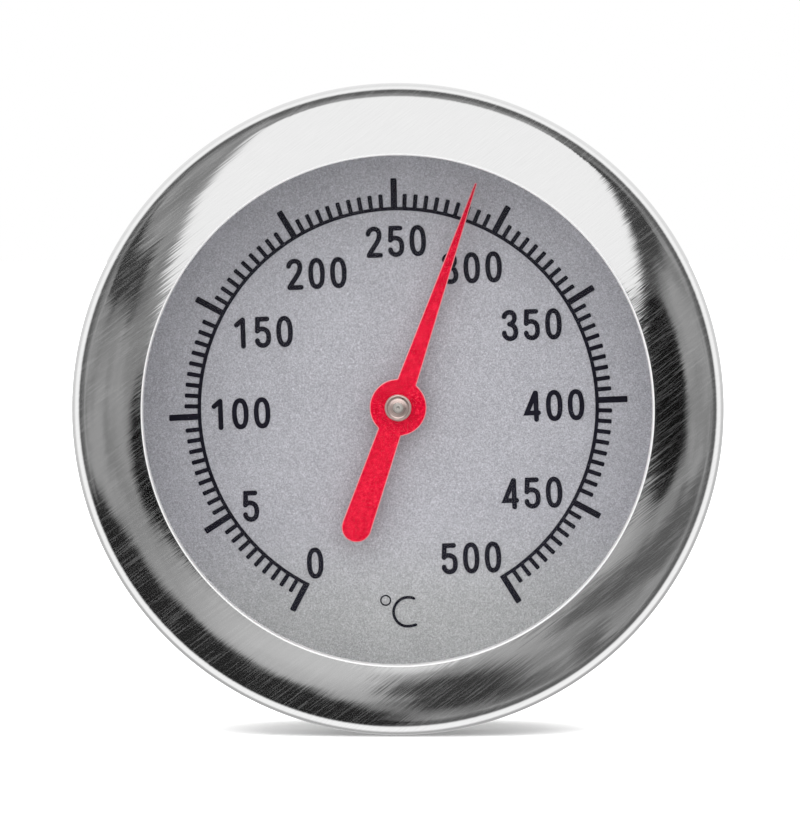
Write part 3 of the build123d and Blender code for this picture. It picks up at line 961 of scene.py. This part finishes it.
def soft_patch(g, clock, off_axis, centre, half, soft, slant):
    """One inside a rounded, soft-edged patch of the studio and nothing outside it. The patch is centred
    at a (clock, off-axis) pair with half sizes in degrees; soft is its edge's share of those sizes, and
    slant moves its centre round with the off-axis angle."""
    middle = centre[0]
    if slant:
        middle = g.math("MULTIPLY_ADD", off_axis, slant, centre[0] - slant * centre[1])
    round_off = g.math("WRAP", g.math("SUBTRACT", clock, middle), 180.0, -180.0)
    round_share = g.math("DIVIDE", g.math("ABSOLUTE", round_off), half[0])
    out_share = g.math("DIVIDE", g.math("ABSOLUTE", g.math("SUBTRACT", off_axis, centre[1])), half[1])
    power = 3.0
    corner = g.math("ADD", g.math("POWER", round_share, power), g.math("POWER", out_share, power))
    reach = g.math("POWER", corner, 1 / power)
    return g.smooth(reach, 1.0 - soft, 1.0 + soft, 1.0, 0.0)


# What the polished metal mirrors. All angles are in degrees: clock goes round the dial's axis and
# off-axis is measured from straight in front. Each soft-edged card has its (clock, off-axis) centre,
# half sizes, edge softness as a share of them, slant and brightness. Later ones cover earlier ones.
studio_cards = (
    ((-165, 10), (34, 22), 0.80, 0.0, 0.80),
    ((140, 8), (24, 10), 0.70, 0.0, 0.62),
    ((-59, 46), (6, 24), 0.40, 0.26, 0.060),
    ((50, 45), (12, 26), 0.40, -0.35, 0.070),
    ((126, 32), (10, 24), 0.50, -0.80, 0.15),
    ((143, 48), (4, 14), 0.60, 0.0, 0.16),
    ((170, 33), (14, 18), 0.45, -0.15, 0.060),
    ((-141, 69), (40, 33), 0.14, 0.0, 0.026),
    ((-102, 3), (21, 15), 0.16, 0.0, 0.008),
    ((88, 15), (24, 18), 0.16, 0.0, 0.008),
    ((180, 4), (8, 9), 0.60, 0.0, 1.25),
)
STUDIO_SINK = 0.035
WARP = 14.0
WINDOW_START, WINDOW_END, WINDOW_EDGE = 8.0, (58.0, 68.0), 3.0
WINDOW_LEFT, WINDOW_LEFT_GAIN = -62.5, 0.88
WINDOW_RIGHT, WINDOW_RIGHT_GAIN, WINDOW_RIGHT_POWER = 68.0, 0.128, 1.42
RING_INNER_EDGE, RING_OUTER_EDGE, REAR_EDGE = (60.0, 80.0), (86.0, 100.0), (112.0, 132.0)
WINDOW_LEVEL, RING_LEVEL, SIDE_LEVEL = 1.36, 0.16, 1.42


def window(g, clock, off_axis):
    """One inside the big window overhead, which narrows away from the axis, and nothing outside."""
    off_start = g.math("MAXIMUM", g.math("SUBTRACT", off_axis, WINDOW_START), 0.0)
    left = g.math("MULTIPLY_ADD", off_start, WINDOW_LEFT_GAIN, WINDOW_LEFT)
    bend = g.math("MULTIPLY", g.math("POWER", off_start, WINDOW_RIGHT_POWER), WINDOW_RIGHT_GAIN)
    right = g.math("SUBTRACT", WINDOW_RIGHT, bend)
    past_left = g.smooth(g.math("SUBTRACT", clock, left), -WINDOW_EDGE, WINDOW_EDGE)
    before_right = g.smooth(g.math("SUBTRACT", right, clock), -WINDOW_EDGE, WINDOW_EDGE)
    across = g.math("MULTIPLY", past_left, before_right)
    return g.math("MULTIPLY", across, g.smooth(off_axis, *WINDOW_END, 1.0, 0.0))


def studio(g, direction):
    """Brightness of the studio in a direction, for reflections: cards and a window in front, a dark
    ring round the sides, white beyond it, and a greyer room behind."""
    x, y, z = g.split(direction)[:3]
    z = g.math("ADD", z, STUDIO_SINK)
    warp = g.add("ShaderNodeTexNoise", Vector=direction, Scale=5.0, Detail=2.0).outputs["Color"]
    warp_round, warp_out, uneven = g.split(warp)[:3]
    off_axis = g.math("DEGREES", g.math("ARCCOSINE", g.math("MULTIPLY", y, -1.0)))
    clock = g.math("DEGREES", g.math("ARCTAN2", x, z))
    wavy_off = g.math("ADD", off_axis, g.centred(warp_out, WARP))
    wavy_clock = g.math("ADD", clock, g.centred(warp_round, WARP))
    bright = g.smooth(uneven, 0.3, 0.7, 0.30, 0.45)
    for centre, half, soft, slant, level in studio_cards:
        patch = soft_patch(g, wavy_clock, wavy_off, centre, half, soft, slant)
        bright = g.mix(patch, bright, level)
    bright = g.mix(window(g, clock, off_axis), bright, WINDOW_LEVEL)
    sunk = g.math("SUBTRACT", off_axis, g.math("MULTIPLY", z, 8.0))
    ring_inside = g.smooth(sunk, *RING_OUTER_EDGE, 1.0, 0.0)
    ring = g.math("MULTIPLY", g.smooth(sunk, *RING_INNER_EDGE), ring_inside)
    bright = g.mix(ring, bright, g.math("MINIMUM", bright, RING_LEVEL))
    bright = g.mix(g.smooth(sunk, *RING_OUTER_EDGE), bright, SIDE_LEVEL)
    behind = g.smooth(z, -0.7, 0.7, 0.55, 1.15)
    return g.mix(g.smooth(off_axis, *REAR_EDGE), bright, behind)


def make_world():
    """White to the camera, an uneven soft studio to reflections, and a plain soft sky to the rest."""
    world = bpy.data.worlds.new("studio")
    world.use_nodes = True
    world.cycles.sampling_method = "NONE"
    bpy.context.scene.world = world
    g = Graph(world.node_tree)
    direction = g.add("ShaderNodeTexCoord").outputs["Generated"]
    height = g.split(direction)[2]
    from_left = g.math("MULTIPLY", g.split(direction)[0], -0.34)
    sky = g.math("ADD", g.smooth(height, -0.4, 0.75, 1.10, 1.66), from_left)
    kind = g.add("ShaderNodeLightPath").outputs
    level = g.mix(kind["Is Glossy Ray"], sky, studio(g, direction))
    level = g.mix(kind["Is Camera Ray"], level, 1.0)
    background = g.add("ShaderNodeBackground", Color=g.join(level, level, level), Strength=1.0)
    g.add("ShaderNodeOutputWorld", Surface=background.outputs[0])


make_camera()
make_floor()
make_key_light()
make_world()

bpy.context.scene.view_settings.view_transform = "Standard"
bpy.context.scene.cycles.max_bounces = 8
bpy.context.scene.cycles.transparent_max_bounces = 16
